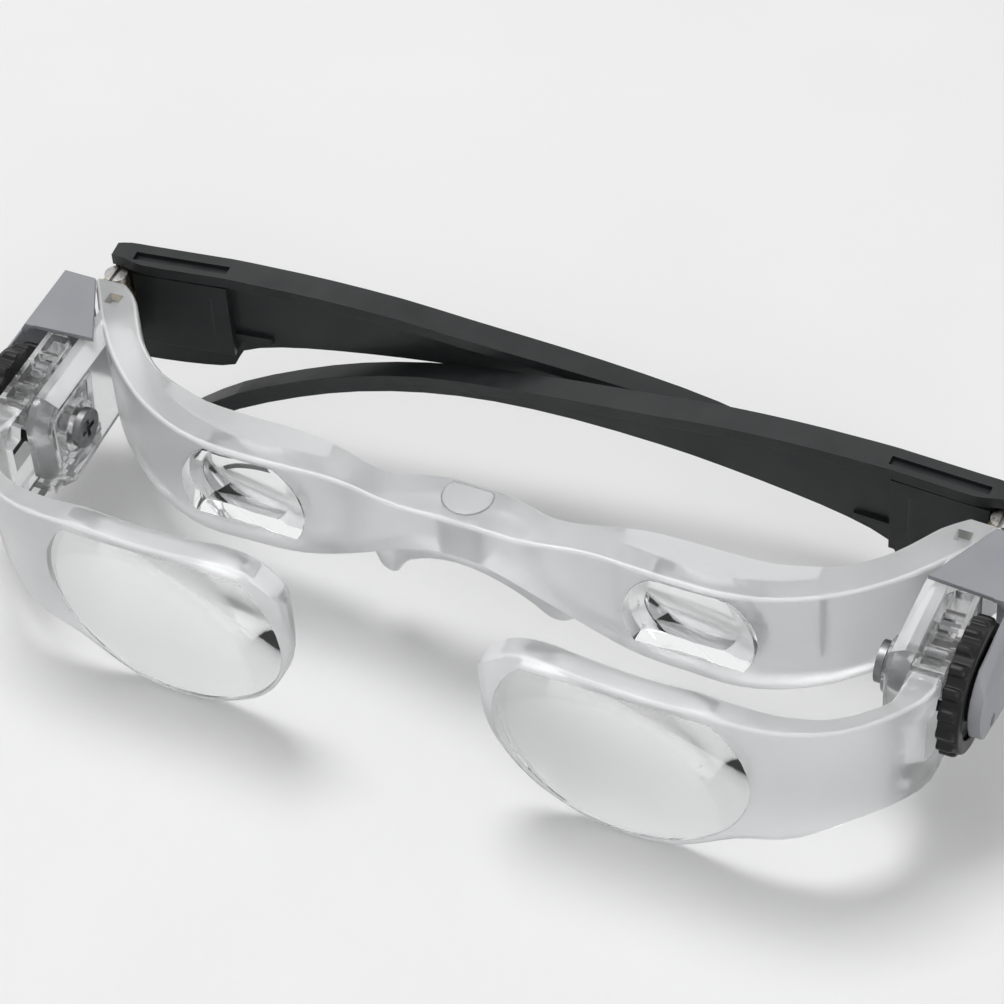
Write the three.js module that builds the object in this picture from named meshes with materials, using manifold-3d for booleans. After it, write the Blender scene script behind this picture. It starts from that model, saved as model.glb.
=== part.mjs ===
// Binocular glasses: two objective lenses on sliding arms in front of two eyepiece lenses in a clear frame.
// Millimetres. X runs to the wearer's left, Y runs back to the wearer, Z is up.
// The origin is the middle of the nose saddle's underside.
import * as THREE from "three";
import { mergeVertices } from "three/addons/utils/BufferGeometryUtils.js";
import Module from "manifold-3d";

const wasm = await Module();
wasm.setup();

// Optics
const pupilSpacing = 63;
const eyeX = pupilSpacing / 2;
const eyepieceRadius = 8.9;
const eyepieceHalfDepth = 1.9;
const eyepieceCentreThickness = 1.3;
const eyepieceRim = 0.2;
const objectiveRadius = 16.75;
const objectiveZ = 1;
const objectiveEdgeBack = -21.6;
const objectiveEdgeThickness = 1.3;
const objectiveEdgeFront = objectiveEdgeBack - objectiveEdgeThickness;
const objectiveFrontSag = 3.1;
const objectiveBackSag = 1.1;
const objectiveFlatTop = 12.3;
const lensFit = 0.12;

// Rear frame: a band from the bridge round to the hinges
const frameHalfWidth = 64.9;
const frameWrap = 21.4;
const frameTop = 8.4;
const bandHeight = 16.5;
const bandDepth = 7.6;
const bandEdge = 0.55;
const frontWall = 3.85;
const channelWall = 0.9;
const channelHeight = 12.6;
const channelCeiling = frameTop - channelWall;
const channelFloor = channelCeiling - channelHeight;
const channelInnerReach = 11;
const channelOuterReach = 14.5;
const eyepieceFlatTop = channelCeiling - eyepieceRim;
const eyepieceFlatBottom = channelFloor + eyepieceRim;
const latchInset = 3.4;
const latchWidth = 2;
const latchStep = 2.1;
const latchLength = 2;
const latchDepth = 1.6;

// Focusing: pinion, rack and wheel. The slide hangs a little below the frame's top.
const gearModule = 0.7;
const pinionTeeth = 10;
const gearBacklash = 0.22;
const gearRootGap = 0.18;
const toothSlopeShare = 0.42;
const focusTravel = 5;
const slotEndGap = 0.45;
const blockStep = 0.1;
const blockRoof = 2.42;
const pitchRadius = (gearModule * pinionTeeth) / 2;
const tipRadius = pitchRadius + gearModule;
const blockTop = frameTop - blockStep;
const rackRoot = blockTop - blockRoof;
const rackLine = rackRoot - gearModule - gearRootGap;
const wheelY = 1;
const wheelZ = rackLine - pitchRadius;
const wheelRadius = 9;
const wheelThickness = 2.8;
const wheelShoulderDrop = 0.6;
const gripDepth = 0.75;
const gripCount = 18;
const gripShare = 0.66;
const gripWidthShare = 0.62;
const gripSideShare = 0.78;
const gripTipShare = 0.3;
const gripEnd = 0.45;
const gripFall = 0.7;
const hollowRim = 2.4;
const hollowDepth = 0.9;

// Outwards from the frame: side wall, sliding block, wheel and cover skin
const wallInset = 3.5;
const wallThickness = 3.2;
const wallOuter = frameHalfWidth - wallInset;
const wallInner = wallOuter - wallThickness;
const slideGap = 0.3;
const blockWidth = 4.1;
const blockInner = wallOuter + slideGap;
const blockOuter = blockInner + blockWidth;
const wheelGap = 0.4;
const wheelInner = blockOuter + wheelGap;
const wheelOuter = wheelInner + wheelThickness;
const skinThickness = 1.6;
const skinInner = wheelOuter + wheelGap;
const skinOuter = skinInner + skinThickness;
const pinionGap = 0.35;

// Side walls with their hubs and the rails that guide the blocks
const wallLead = 6.4;
const wallFront = wheelY - wallLead;
const wallStep = 3.2;
const wallBack = frameWrap - wallStep;
const wallEdge = 1.3;
const wallTaper = 1.3;
const wallRim = 2.1;
const wallPanelDepth = 0.8;
const wallRidge = 0.9;
const wallRidgeGap = 0.8;
const hubRadius = 3.7;
const hubStand = 0.9;
const hubInner = wallInner - hubStand;
const railDrop = 2.35;
const railHeight = 1.4;
const railDepth = 1.1;
const railLead = 0.8;
const railLength = 13;
const railFit = 0.18;
const slotFront = wheelY - focusTravel - tipRadius - slotEndGap;
const slotBack = wheelY + tipRadius + slotEndGap;
const slotBottom = wheelZ - tipRadius - slotEndGap;
const railTop = slotBottom - railDrop;
const railBottom = railTop - railHeight;
const railFront = wallFront + railLead;
const railBack = railFront + railLength;

// Sliding block
const blockNose = 1.2;
const blockTail = 4.65;
const blockFoot = 1.95;
const blockFront = slotFront - blockNose;
const blockBack = slotBack + blockTail;
const blockBottom = railBottom - blockFoot;
const blockChamfer = 1.8;
const blockTaper = 0.95;
const blockTaperLength = 4.4;
const pocketWall = 0.75;
const pocketDepth = 1.3;

// Objective arms
const armLip = 2.3;
const armFront = objectiveEdgeFront - armLip;
const armRing = 1.6;
const armEdge = 0.5;

// Axle screws
const axleRadius = 1.3;
const axleHeadRadius = 2.75;
const axleHeadThickness = 1;
const axleHeadGap = 0.3;
const axleFit = 0.15;
const axleTipDepth = 0.9;
const driveSlotWidth = 0.8;
const driveReach = 1.5;
const driveSlotDepth = 0.5;

// Side covers
const coverGap = 0.3;
const coverSkin = 0.65;
const coverTop = frameTop + coverGap + coverSkin;
const coverHeight = 17.55;
const coverStep = 1.2;
const coverRear = frameWrap - coverStep;
const skinLength = 25.4;
const coverShoulderWidth = 2.1;
const coverShoulderDrop = 3.4;
const rearWallThickness = 1.2;
const plateReach = 6;
const plateRearReach = 0.7;
const plateWheelLap = 1.1;
const plateSlant = 0.8;
const plateSeat = 0.2;
const dimpleRadius = 0.9;
const dimpleDepth = 0.35;
const dimpleLead = 0.8;
const dimpleDrop = 4;

// Hinges
const hingeInset = 1.2;
const knuckleRadius = 1.8;
const knuckleSeat = 0.2;
const leafThickness = 0.8;
const leafSeat = 0.2;
const hingeX = frameHalfWidth - hingeInset;
const hingeY = frameWrap + leafSeat + leafThickness + knuckleSeat + knuckleRadius;
const knuckleStep = 2.7;
const knuckleHeight = 10.5;
const knuckleTop = frameTop - knuckleStep;
const knuckleBottom = knuckleTop - knuckleHeight;
const knuckleMiddleStep = 3.2;
const knuckleMiddleHeight = 4.1;
const knuckleMiddleTop = knuckleTop - knuckleMiddleStep;
const knuckleMiddleBottom = knuckleMiddleTop - knuckleMiddleHeight;
const knuckleGap = 0.2;
const leafInnerReach = 3.3;
const leafOuterReach = 1.5;
const pinRadius = 0.8;
const pinHeadRadius = 1.6;
const pinHeadThickness = 1;
const pinFit = 0.1;
const pinSlotWidth = 0.55;
const templeLeafOffset = 1.4;
const templeLeafGap = 0.8;
const templeLeafLength = 10.4;
const templeLeafFlare = 1.3;
const templeLeafFit = 0.15;
const leafNear = knuckleRadius + templeLeafGap;
const leafFar = leafNear + templeLeafLength;

// Temples. The inner one is folded first and the outer one over it, so each lies a little
// further back at the middle.
const tipGap = 5.4;
const templeLength = 2 * hingeX - tipGap;
const templeHeight = 20;
const screwGap = 0.5;
const flangeThickness = 1.7;
const templeTop = knuckleTop + pinFit + pinHeadThickness + screwGap + flangeThickness;
const templeWeb = 1.8;
const templeClear = 0.5;
const templeSeat = knuckleRadius + templeClear + templeWeb;
const templeBow = 2.6;
const flangeWidth = 4;
const flangeLimitShare = 0.45;
const foldGap = 0.3;
const innerTempleBack = 0.8;
const templeSlotLead = 2.4;
const templeSlotLength = 13.6;
const templeSlotWidth = 1;
const templeSlotDepth = 0.7;
const templeSlotInset = 1.2;
const padGap = 0.2;
const padLead = knuckleRadius + padGap;
const padLength = 13.6;
const padThickness = 1.6;
const padDrop = 2.6;
const padHeight = 12.6;
const webRibHeight = 0.9;
const webRibThickness = 0.6;
const webRibLead = 4;
const webRibLength = 17;
const webRibDrop = 11.9;

// Nose saddle
const saddleGap = 0.3;
const saddleHalfWidth = 14.6;
const saddleDepth = 6.9;
const saddleWing = 6.8;
const saddleEdge = 0.6;
const plugRadius = 3.3;
const plugInset = 2.6;
const plugFlatInset = 1.1;
const plugRise = 0.1;
const plugFit = 0.2;

// How finely curves are cut, and how far a cutting solid runs past what it cuts
const roundSegments = 40;
const smallSegments = 20;
const capRings = 4;
const cornerSteps = 1;
const spanSteps = 2;
const mergeTolerance = 0.0004;
const overrun = 1;
const halfTurn = Math.PI;

// A solid from any closed geometry, whichever way round its faces were given.
function solidOf(geometry) {
  const bare = new THREE.BufferGeometry();
  bare.setAttribute("position", geometry.getAttribute("position"));
  bare.setIndex(geometry.getIndex());
  const merged = mergeVertices(bare, mergeTolerance);
  const corners = [];
  for (let i = 0; i < merged.index.count; i += 3) {
    const [a, b, c] = [merged.index.getX(i), merged.index.getX(i + 1), merged.index.getX(i + 2)];
    if (a !== b && b !== c && c !== a) corners.push([a, b, c]);
  }
  const build = (list) =>
    new wasm.Manifold(
      new wasm.Mesh({
        numProp: 3,
        vertProperties: merged.attributes.position.array,
        triVerts: new Uint32Array(list.flat()),
      }),
    );
  const solid = build(corners);
  return solid.volume() > 0 ? solid : build(corners.map(([a, b, c]) => [a, c, b]));
}

function join(...solids) {
  return solids.reduce((sum, solid) => sum.add(solid));
}

function cut(solid, ...tools) {
  return tools.reduce((rest, tool) => rest.subtract(tool), solid);
}

function turn(solid, degrees, x, y) {
  return solid.translate([-x, -y, 0]).rotate([0, 0, degrees]).translate([x, y, 0]);
}

// A straight prism along an axis. The outline holds [y, z] for "x", [x, z] for "y" and [x, y] for "z".
function prism(axis, outline, from, to, hole = null) {
  const shape = new THREE.Shape(outline.map(([a, b]) => new THREE.Vector2(a, b)));
  if (hole) shape.holes.push(new THREE.Path(hole.map(([a, b]) => new THREE.Vector2(a, b))));
  const geometry = new THREE.ExtrudeGeometry(shape, { depth: to - from, bevelEnabled: false });
  const points = geometry.getAttribute("position");
  for (let i = 0; i < points.count; i++) {
    const [a, b, level] = [points.getX(i), points.getY(i), points.getZ(i) + from];
    if (axis === "x") points.setXYZ(i, level, a, b);
    if (axis === "y") points.setXYZ(i, a, level, b);
    if (axis === "z") points.setXYZ(i, a, b, level);
  }
  return solidOf(geometry);
}

function rectangle(a0, a1, b0, b1) {
  return [
    [a0, b0],
    [a1, b0],
    [a1, b1],
    [a0, b1],
  ];
}

function circle(a, b, radius, segments) {
  return Array.from({ length: segments }, (_, i) => {
    const angle = (2 * halfTurn * i) / segments;
    return [a + radius * Math.cos(angle), b + radius * Math.sin(angle)];
  });
}

// Rows of shares, each column times its own unit.
function scaled(shares, ...units) {
  return shares.map((row) => row.map((share, i) => share * units[i]));
}

// A convex outline moved inwards by a distance.
function inset(outline, distance) {
  const area = outline.reduce((sum, [a, b], i) => {
    const [c, d] = outline[(i + 1) % outline.length];
    return sum + a * d - b * c;
  }, 0);
  const side = Math.sign(area) * distance;
  const edges = outline.map(([a, b], i) => {
    const [c, d] = outline[(i + 1) % outline.length];
    const length = Math.hypot(c - a, d - b);
    const [u, v] = [(c - a) / length, (d - b) / length];
    return { a: a - v * side, b: b + u * side, u, v };
  });
  return edges.map((edge, i) => {
    const last = edges[(i + edges.length - 1) % edges.length];
    const across = last.u * edge.v - last.v * edge.u;
    const along = ((edge.a - last.a) * edge.v - (edge.b - last.b) * edge.u) / across;
    return [last.a + last.u * along, last.b + last.v * along];
  });
}

// Rows of numbers made smooth: each span between two rows is filled by a curve through its neighbours.
function smoothRows(rows, steps) {
  const filled = [];
  for (let i = 0; i + 1 < rows.length; i++) {
    const before = rows[Math.max(i - 1, 0)];
    const after = rows[Math.min(i + 2, rows.length - 1)];
    for (let step = 0; step < steps; step++) {
      const t = step / steps;
      filled.push(
        rows[i].map((value, j) => {
          const next = rows[i + 1][j];
          const slopeIn = (next - before[j]) / 2;
          const slopeOut = (after[j] - value) / 2;
          const cubic = 2 * value - 2 * next + slopeIn + slopeOut;
          const square = 3 * next - 3 * value - 2 * slopeIn - slopeOut;
          return value + slopeIn * t + square * t * t + cubic * t * t * t;
        }),
      );
    }
  }
  filled.push([...rows[rows.length - 1]]);
  return filled;
}

function roundedRectangle(a0, a1, b0, b1, edge) {
  const corners = [
    [a1 - edge, b0 + edge, -0.5],
    [a1 - edge, b1 - edge, 0],
    [a0 + edge, b1 - edge, 0.5],
    [a0 + edge, b0 + edge, 1],
  ];
  return corners.flatMap(([a, b, startShare]) =>
    Array.from({ length: cornerSteps + 1 }, (_, i) => {
      const angle = halfTurn * (startShare + i / (2 * cornerSteps));
      return [a + edge * Math.cos(angle), b + edge * Math.sin(angle)];
    }),
  );
}

// A skin over rings of points, closed at both ends. Each ring holds its points and their flat outline.
function loft(rings) {
  const count = rings[0].points.length;
  const positions = rings.flatMap((ring) => ring.points.flat());
  const index = [];
  for (let i = 0; i + 1 < rings.length; i++) {
    for (let j = 0; j < count; j++) {
      const [a, b] = [i * count + j, i * count + ((j + 1) % count)];
      index.push(a, b, b + count, a, b + count, a + count);
    }
  }
  for (const [ring, first] of [
    [rings[0], true],
    [rings[rings.length - 1], false],
  ]) {
    const start = first ? 0 : (rings.length - 1) * count;
    const contour = ring.flat.map(([a, b]) => new THREE.Vector2(a, b));
    const clockwise = THREE.ShapeUtils.isClockWise(contour);
    for (const [a, b, c] of THREE.ShapeUtils.triangulateShape(contour, [])) {
      const forward = first !== clockwise;
      index.push(start + a, start + (forward ? c : b), start + (forward ? b : c));
    }
  }
  const geometry = new THREE.BufferGeometry();
  geometry.setAttribute("position", new THREE.Float32BufferAttribute(positions, 3));
  geometry.setIndex(index);
  return solidOf(geometry);
}

// A band ring that stands over the line from a front point to a back point. The foot of its
// front may lean back.
function bandRing([frontX, frontY, backX, backY, top, bottom, lean = 0], edge) {
  const depth = Math.hypot(backX - frontX, backY - frontY);
  const flat = roundedRectangle(0, depth, bottom, top, edge).map(([along, z]) => [
    along + (lean * (top - z) * (depth - along)) / ((top - bottom) * depth),
    z,
  ]);
  const points = flat.map(([along, z]) => [
    frontX + ((backX - frontX) * along) / depth,
    frontY + ((backY - frontY) * along) / depth,
    z,
  ]);
  return { points, flat };
}

// The height of a spherical cap above its rim plane, at a distance from its axis.
function capHeight(distance, radius, sag) {
  const sphere = (radius * radius + sag * sag) / (2 * Math.abs(sag));
  const height = Math.sqrt(sphere * sphere - distance * distance) - sphere + Math.abs(sag);
  return Math.sign(sag) * height;
}

// A round lens about the Y axis. A sag above zero bulges outwards, below zero it is hollow.
function lensBody(radius, front, back, frontSag, backSag) {
  const shares = Array.from({ length: capRings + 1 }, (_, i) => i / capRings);
  const profile = [
    ...shares.map((s) => new THREE.Vector2(s * radius, front - capHeight(s * radius, radius, frontSag))),
    ...shares
      .toReversed()
      .map((s) => new THREE.Vector2(s * radius, back + capHeight(s * radius, radius, backSag))),
  ];
  return solidOf(new THREE.LatheGeometry(profile, roundSegments));
}

// Rear frame

// Half of the band, from the middle to the hinge. Each row holds the front point and the back
// point of one section, then how far its top rises above the frame's top and how far its bottom
// drops below it. Across, a share runs from 0 at the middle to 1 at the eye and 2 at the end.
const frameShares = [
  [0, -0.1495, 0, 1, 0.0303, 0.3758],
  [0.127, -0.1472, 0.127, 0.9934, 0.0273, 0.4061],
  [0.254, -0.1402, 0.254, 0.8816, 0.0091, 0.5091],
  [0.3651, -0.1168, 0.3651, 0.7237, 0, 0.6424],
  [0.4762, -0.0888, 0.4762, 0.6974, 0, 0.7818],
  [0.6032, -0.0748, 0.6032, 0.8026, 0, 0.9091],
  [0.7302, -0.0818, 0.7302, 0.9276, 0, 0.9818],
  [0.8571, -0.0888, 0.8571, 0.9803, 0, 1.0121],
  [1, -0.0911, 1, 0.9934, 0, 1.0182],
  [1.1347, -0.0841, 1.1257, 0.9737, 0, 1.0424],
  [1.2695, -0.0467, 1.2545, 0.9079, 0, 1.0545],
  [1.4042, 0.0327, 1.3743, 0.8289, 0, 1.0485],
  [1.5389, 0.1542, 1.488, 0.6711, 0, 1.0303],
  [1.6587, 0.3037, 1.5838, 0.5658, 0, 1],
  [1.7575, 0.4579, 1.6587, 0.4737, 0, 1],
  [1.8353, 0.6075, 1.7216, 0.4474, 0, 0.9939],
  [1.9102, 0.7664, 1.7725, 0.3421, 0, 0.9818],
  [1.979, 0.9346, 1.8234, 0.0921, 0, 0.9636],
  [2, 0.9907, 1.8503, 0.0263, 0, 0.9576],
];

function across(share) {
  return share < 1 ? share * eyeX : eyeX + (share - 1) * (frameHalfWidth - eyeX);
}

const frameHalfRows = frameShares.map(([frontX, frontY, backX, depth, rise, drop]) => [
  across(frontX),
  frontY * frameWrap,
  across(backX),
  frontY * frameWrap + depth * bandDepth,
  frameTop + rise * bandHeight,
  frameTop - drop * bandHeight,
]);
const frameRows = smoothRows(
  [
    ...frameHalfRows.slice(1).toReversed().map(([a, b, c, d, ...heights]) => [-a, b, -c, d, ...heights]),
    ...frameHalfRows,
  ],
  spanSteps,
);
const bridgeBack = frameHalfRows[0][3];

// Outlines of the side wall and its sunk panel: shares along it from front to back, and down
// from the frame's top.
const wallShares = [
  [0, 0.2303],
  [0, 0.7212],
  [0.1737, 1.0545],
  [0.5254, 1.0061],
  [1, 0.9697],
  [1, 0.0182],
  [0.1525, 0.0182],
  [0.072, 0.0545],
  [0.0212, 0.1273],
];
const panelShares = [
  [0, 0.0242],
  [0, 0.7212],
  [0.1737, 1.0545],
  [0.5254, 1.0061],
  [0.6271, 0.0212],
];

function onWall(shares) {
  return shares.map(([along, down]) => [
    wallFront + along * (wallBack - wallFront),
    frameTop - down * bandHeight,
  ]);
}

function frameBottomAt(x) {
  const i = frameRows.findIndex((row) => row[0] > x);
  const [from, to] = [frameRows[i - 1], frameRows[i]];
  return from[5] + ((to[5] - from[5]) * (x - from[0])) / (to[0] - from[0]);
}

// A bore along Y for a lens that is cut flat at its top and its bottom.
function lensBore(radius, z, flatBottom, flatTop, from, to) {
  const round = prism("y", circle(eyeX, z, radius + lensFit, roundSegments), from, to);
  const across = radius + 2 * lensFit;
  const limits = rectangle(eyeX - across, eyeX + across, flatBottom - lensFit, flatTop + lensFit);
  return round.intersect(prism("y", limits, from, to));
}

// The open-backed channel behind the front wall of one side.
function frameChannel() {
  const [start, end] = [eyeX - channelInnerReach, eyeX + channelOuterReach];
  const rows = smoothRows(frameHalfRows, spanSteps);
  const count = rows.findIndex(([frontX]) => frontX > end) + 2;
  const rings = rows.slice(0, count).map(([frontX, frontY, backX, backY]) => {
    const depth = Math.hypot(backX - frontX, backY - frontY);
    const [u, v] = [(backX - frontX) / depth, (backY - frontY) / depth];
    const inside = [frontX + u * frontWall, frontY + v * frontWall];
    const outside = [backX + u * overrun, backY + v * overrun];
    return bandRing([...inside, ...outside, channelCeiling, channelFloor], bandEdge / 2);
  });
  const window = prism("z", rectangle(start, end, -frameWrap, frameWrap), -bandHeight, bandHeight);
  return loft(rings).intersect(window);
}

function sideWall() {
  const outline = onWall(wallShares);
  const edges = [
    [wallInner, wallTaper],
    [wallOuter - wallEdge, 0],
    [wallOuter, 0],
  ];
  const plate = loft(
    edges.map(([x, step]) => {
      const flat = inset(outline, step);
      return { points: flat.map(([y, z]) => [x, y, z]), flat };
    }),
  );
  const panel = onWall(panelShares);
  const recess = prism("x", inset(panel, wallRim), wallInner - overrun, wallInner + wallPanelDepth);
  const ridgeOutside = inset(panel, wallRim + wallRidgeGap);
  const ridgeInside = inset(panel, wallRim + wallRidgeGap + wallRidge);
  const ridge = prism("x", ridgeOutside, wallInner + wallPanelDepth / 3, wallInner + overrun, ridgeInside);
  const railEnd = blockInner + railDepth - railFit;
  const hub = prism("x", circle(wheelY, wheelZ, hubRadius, smallSegments), hubInner, wallOuter);
  const railSide = rectangle(railFront, railBack, railBottom, railTop);
  const rail = prism("x", railSide, wallInner + overrun, railEnd);
  return join(cut(plate, recess), ridge, hub, rail);
}

function rearFrame() {
  const band = loft(frameRows.map((row) => bandRing(row, bandEdge)));
  const axleBore = circle(wheelY, wheelZ, axleRadius + axleFit, smallSegments);
  const [latchX, latchY] = [frameHalfWidth - latchInset, frameWrap - latchStep];
  const latch = rectangle(latchX - latchWidth, latchX, latchY - latchLength, latchY);
  const side = sideWall();
  const openings = join(
    lensBore(eyepieceRadius, 0, eyepieceFlatBottom, eyepieceFlatTop, -frameWrap, frontWall),
    frameChannel(),
    prism("x", axleBore, hubInner - overrun, wallOuter + overrun),
    prism("z", latch, frameTop - latchDepth, frameTop + overrun),
  );
  const socket = prism("z", plugOutline(plugFit), -bandHeight, bandHeight);
  return cut(join(band, side, side.mirror([1, 0, 0])), openings, openings.mirror([1, 0, 0]), socket);
}

function eyepieceLens() {
  const sag = eyepieceCentreThickness / 2 - eyepieceHalfDepth;
  const round = lensBody(eyepieceRadius, -eyepieceHalfDepth, eyepieceHalfDepth, sag, sag);
  const limits = rectangle(-eyeX, eyeX, eyepieceFlatBottom, eyepieceFlatTop);
  const slab = prism("y", limits, -frameWrap, frameWrap);
  return round.intersect(slab).translate([eyeX, 0, 0]);
}

// Nose saddle. Each row holds the place across, the front, the back and the height of one section.
const saddleShares = [
  [0, -0.3623, 0.5797, 0.2794],
  [0.274, -0.3478, 0.5797, 0.3162],
  [0.5205, -0.2464, 0.5797, 0.4515],
  [0.6507, -0.0725, 0.6087, 0.7294],
  [0.7534, 0.0725, 0.6377, 0.9853],
  [0.8425, 0.1594, 0.6377, 0.9956],
  [0.9315, 0.2029, 0.6232, 0.7971],
  [1, 0.2609, 0.5797, 0.45],
];

function plugOutline(fit) {
  const centre = bridgeBack - plugInset;
  const flat = bridgeBack - plugFlatInset + fit;
  return circle(0, centre, plugRadius + fit, smallSegments).map(([x, y]) => [x, Math.min(y, flat)]);
}

function noseSaddle() {
  const half = scaled(saddleShares, saddleHalfWidth, saddleDepth, saddleDepth, saddleWing);
  const rows = [...half.slice(1).toReversed().map(([x, ...rest]) => [-x, ...rest]), ...half];
  const rings = smoothRows(rows, spanSteps).map(([x, front, back, height]) => {
    const top = frameBottomAt(x) - saddleGap;
    return bandRing([x, front, x, back, top, top - height], saddleEdge);
  });
  const plugTop = frameHalfRows[0][4] + plugRise;
  return join(loft(rings), prism("z", plugOutline(0), saddleGap, plugTop));
}

// Objective arm: a band from the block round to the lens, then a ring in front of the lens's rim.
// Each row holds the front point and the back point of one section, its top, its bottom, and how
// far the foot of its front leans back. Across, the shares of the sweep run from 0 at the ring to
// 1 at the block, and those of the ring are of the lens's radius.
const sweepShares = [
  [1, 0.119, 1, 0.119, 0.4299, -0.5851, 0],
  [0.9969, 0.2857, 1, 0.2937, 0.4597, -0.5791, 0],
  [0.9373, 0.4365, 1, 0.4444, 0.5373, -0.5373, 0.0299],
  [0.8433, 0.5754, 0.8819, 0.5635, 0.609, -0.5015, 0.0716],
  [0.7179, 0.6905, 0.6962, 0.6706, 0.6448, -0.5075, 0.1075],
  [0.5674, 0.7937, 0.4852, 0.75, 0.6746, -0.5433, 0.1313],
  [0.3981, 0.877, 0.2827, 0.7976, 0.7104, -0.591, 0.1373],
  [0.1975, 0.9365, 0.0717, 0.8254, 0.7284, -0.6328, 0.1373],
];
const ringShares = [
  [1.0925, 0.9722, 1.009, 0.8373, 0.7403, -0.6627, 0.1373],
  [0.8836, 0.9921, 0.8478, 0.8452, 0.7582, -0.7104, 0.1373],
  [0.6567, 1, 0.6448, 0.8492, 0.7821, -0.8418, 0.1373],
  [0.4239, 1, 0.4239, 0.8492, 0.7642, -0.9791, 0.1373],
  [0.209, 1, 0.209, 0.8492, 0.7522, -1.0388, 0.1373],
  [0, 1, 0, 0.8492, 0.7582, -1.0507, 0.1373],
  [-0.2687, 1, -0.2687, 0.8492, 0.7821, -1.0149, 0.1313],
  [-0.5075, 1, -0.5075, 0.8532, 0.8239, -0.9015, 0.1254],
  [-0.6866, 1, -0.6866, 0.8532, 0.8239, -0.7761, 0.1134],
  [-0.8299, 1, -0.8299, 0.8571, 0.794, -0.6209, 0.1015],
  [-0.9373, 0.998, -0.9373, 0.8611, 0.7284, -0.4418, 0.0836],
  [-1.0269, 0.9921, -1.0269, 0.8651, 0.6448, -0.2388, 0.0597],
  [-1.0746, 0.9802, -1.0746, 0.873, 0.5731, -0.0119, 0.0299],
  [-1.0925, 0.9643, -1.0925, 0.8849, 0.5015, 0.191, 0.0119],
];
const blockPocketShares = [
  [0.3251, 0.4335],
  [0.4729, 0.6601],
  [0.6995, 0.7586],
  [0.798, 0.9557],
];

const toothHalf = (halfTurn * gearModule) / 4 - gearBacklash / 2;
const toothSlope = toothSlopeShare * gearModule;
const rackPitch = halfTurn * gearModule;

function armRows() {
  const ringEdge = eyeX + objectiveRadius + armRing;
  const heights = (rest) => {
    const [top, bottom, lean] = rest.map((share) => share * objectiveRadius);
    return [objectiveZ + top, objectiveZ + bottom, lean];
  };
  return [
    ...sweepShares.map(([frontX, frontY, backX, backY, ...rest]) => [
      ringEdge + frontX * (blockOuter - ringEdge),
      frontY * armFront,
      ringEdge + backX * (blockInner - ringEdge),
      backY * armFront,
      ...heights(rest),
    ]),
    ...ringShares.map(([frontX, frontY, backX, backY, ...rest]) => [
      eyeX + frontX * objectiveRadius,
      frontY * armFront,
      eyeX + backX * objectiveRadius,
      backY * armFront,
      ...heights(rest),
    ]),
  ];
}

// The slot for the pinion, whose upper edge is the rack: its gaps reach up from the line of the tooth tips.
function rackSlot() {
  const body = rectangle(slotFront, slotBack, slotBottom, rackLine - gearModule);
  const gapHalf = rackPitch / 2 - toothHalf;
  const gaps = [];
  for (let centre = wheelY - 3 * rackPitch; centre < slotBack; centre += rackPitch) {
    if (centre - gapHalf < slotFront || centre + gapHalf + toothSlope > slotBack) continue;
    gaps.push(
      prism(
        "x",
        [
          [centre - gapHalf - toothSlope, rackLine - gearModule],
          [centre - gapHalf - toothSlope, rackLine - gearModule - gearRootGap],
          [centre + gapHalf + toothSlope, rackLine - gearModule - gearRootGap],
          [centre + gapHalf + toothSlope, rackLine - gearModule],
          [centre + gapHalf - toothSlope, rackRoot],
          [centre - gapHalf + toothSlope, rackRoot],
        ],
        blockInner - overrun,
        blockOuter + overrun,
      ),
    );
  }
  return join(prism("x", body, blockInner - overrun, blockOuter + overrun), ...gaps);
}

function slideBlock() {
  const outline = rectangle(blockFront, blockBack, blockBottom, blockTop);
  const chamfer = [
    [blockInner - overrun, blockBack - blockChamfer - overrun],
    [blockInner + blockChamfer + overrun, blockBack + overrun],
    [blockInner - overrun, blockBack + overrun],
  ];
  const outerTaper = prism(
    "z",
    [
      [blockOuter, blockFront + blockTaperLength],
      [blockOuter - blockTaper, blockFront],
      [blockOuter - blockTaper, blockFront - overrun],
      [blockOuter + overrun, blockFront - overrun],
      [blockOuter + overrun, blockFront + blockTaperLength],
    ],
    blockBottom - overrun,
    blockTop + overrun,
  );
  const lowerTaper = prism(
    "x",
    [
      [blockFront + blockTaperLength, blockBottom],
      [blockFront, blockBottom + blockTaper],
      [blockFront - overrun, blockBottom + blockTaper],
      [blockFront - overrun, blockBottom - overrun],
      [blockFront + blockTaperLength, blockBottom - overrun],
    ],
    blockInner - overrun,
    blockOuter + overrun,
  );
  const groove = rectangle(
    railFront - focusTravel - railFit,
    blockBack + overrun,
    railBottom - railFit,
    railTop + railFit,
  );
  const blockLength = blockBack - blockFront;
  const pockets = scaled(blockPocketShares, blockLength, blockLength).map(([from, to]) =>
    prism(
      "z",
      rectangle(blockInner + pocketWall, blockOuter - pocketWall, blockFront + from, blockFront + to),
      blockTop - pocketDepth,
      blockTop + overrun,
    ),
  );
  return {
    solid: cut(prism("x", outline, blockInner, blockOuter), outerTaper, lowerTaper),
    cuts: [
      rackSlot(),
      prism("z", chamfer, blockBottom - overrun, blockTop + overrun),
      prism("x", groove, blockInner - overrun, blockInner + railDepth),
      ...pockets,
    ],
  };
}

function objectiveArm() {
  const band = loft(smoothRows(armRows(), spanSteps).map((row) => bandRing(row, armEdge)));
  const bore = lensBore(
    objectiveRadius,
    objectiveZ,
    -frameHalfWidth,
    objectiveFlatTop,
    -frameHalfWidth,
    frameHalfWidth,
  );
  const block = slideBlock();
  return cut(join(band, block.solid), bore, ...block.cuts);
}

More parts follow.
